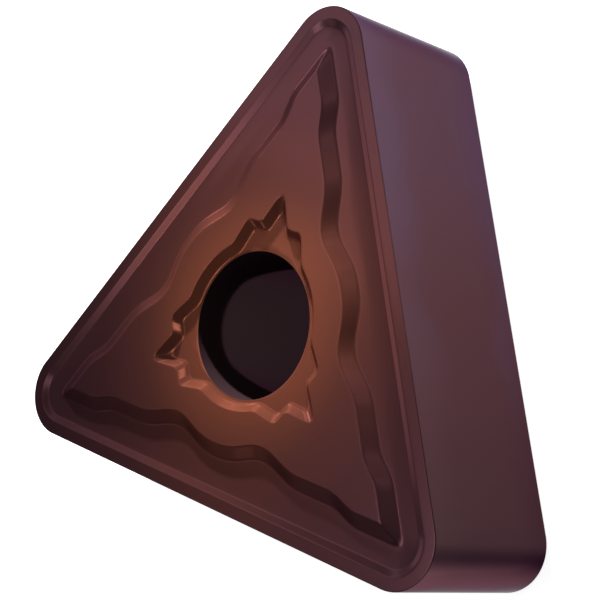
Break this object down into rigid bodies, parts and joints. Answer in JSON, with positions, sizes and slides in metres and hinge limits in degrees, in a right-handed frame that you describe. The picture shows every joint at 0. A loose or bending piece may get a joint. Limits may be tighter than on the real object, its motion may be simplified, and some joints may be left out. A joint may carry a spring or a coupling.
{
  "type": "carbide insert",
  "caption": "Flat triangular carbide turning insert with rounded corners, a chip groove and raised wavy seat on each face, and a star recess round the clamping hole.",
  "frame": {"origin": "on the axis of the clamping hole, half way through the insert's thickness", "axes": "+Z along the hole's axis, out of the upper face; +Y towards one corner; +X parallel to the side that lies opposite that corner"},
  "size_m": [0.0148, 0.0131, 0.0048],
  "materials": {
    "coated_carbide": "satin hard coating, copper brown at the middle of each face and plum towards the edges"
  },
  "bodies": {
    "root": {"insert": "coated_carbide"}
  },
  "joints": []
}
